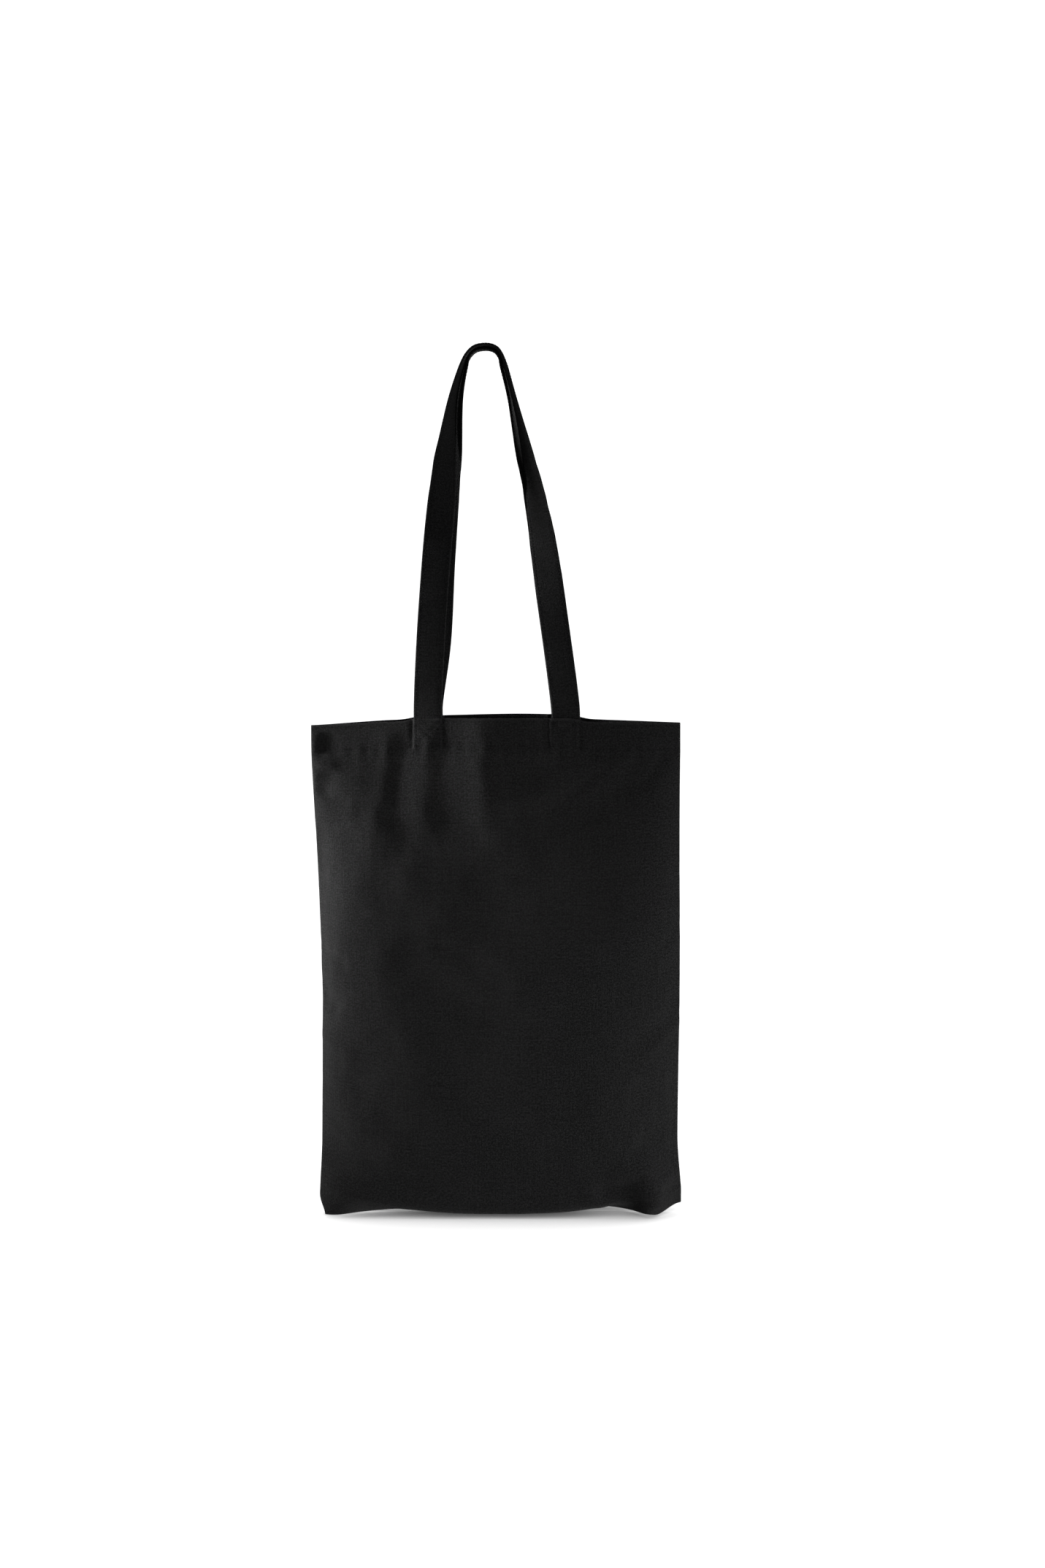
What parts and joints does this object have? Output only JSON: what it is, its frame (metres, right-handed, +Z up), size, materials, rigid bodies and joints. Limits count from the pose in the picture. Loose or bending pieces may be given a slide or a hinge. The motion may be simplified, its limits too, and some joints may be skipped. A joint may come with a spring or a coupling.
{
  "type": "canvas tote bag",
  "caption": "Flat open canvas tote bag with a double-stitched hem and two long webbing handles that fold down outside the bag.",
  "frame": {"origin": "on the ground under the middle of the standing bag", "axes": "+Z up through the mouth to the handles, +X along the mouth to the right side seam, the front panel faces -Y"},
  "size_m": [0.3334, 0.0766, 0.7874],
  "materials": {
    "canvas": "matt black plain-weave cotton canvas with fine slubs",
    "strap": "matt black canvas folded into four plies and stitched along both edges",
    "thread": "black polyester sewing thread with a soft shine"
  },
  "bodies": {
    "bag": {"front_panel": "canvas", "back_panel": "canvas", "front_handle_left_end": "strap", "front_handle_right_end": "strap", "back_handle_left_end": "strap", "back_handle_right_end": "strap", "hem_lower_stitching": "thread", "hem_top_stitching": "thread", "front_left_box_stitch": "thread", "front_right_box_stitch": "thread", "back_left_box_stitch": "thread", "back_right_box_stitch": "thread", "left_seam_overlock": "thread", "right_seam_overlock": "thread", "bottom_seam_overlock": "thread"},
    "front_handle": {"front_handle": "strap", "front_handle_inner_edge_stitching": "thread", "front_handle_outer_edge_stitching": "thread"},
    "back_handle": {"back_handle": "strap", "back_handle_inner_edge_stitching": "thread", "back_handle_outer_edge_stitching": "thread"}
  },
  "joints": [
    {"name": "front_handle_fold", "type": "hinge", "parent": "bag", "child": "front_handle", "pos_m": [0, -0.0225, 0.455], "axis": [1, 0, 0], "range_deg": [0, 170]},
    {"name": "back_handle_fold", "type": "hinge", "parent": "bag", "child": "back_handle", "pos_m": [0, 0.0225, 0.455], "axis": [-1, 0, 0], "range_deg": [0, 170]}
  ]
}
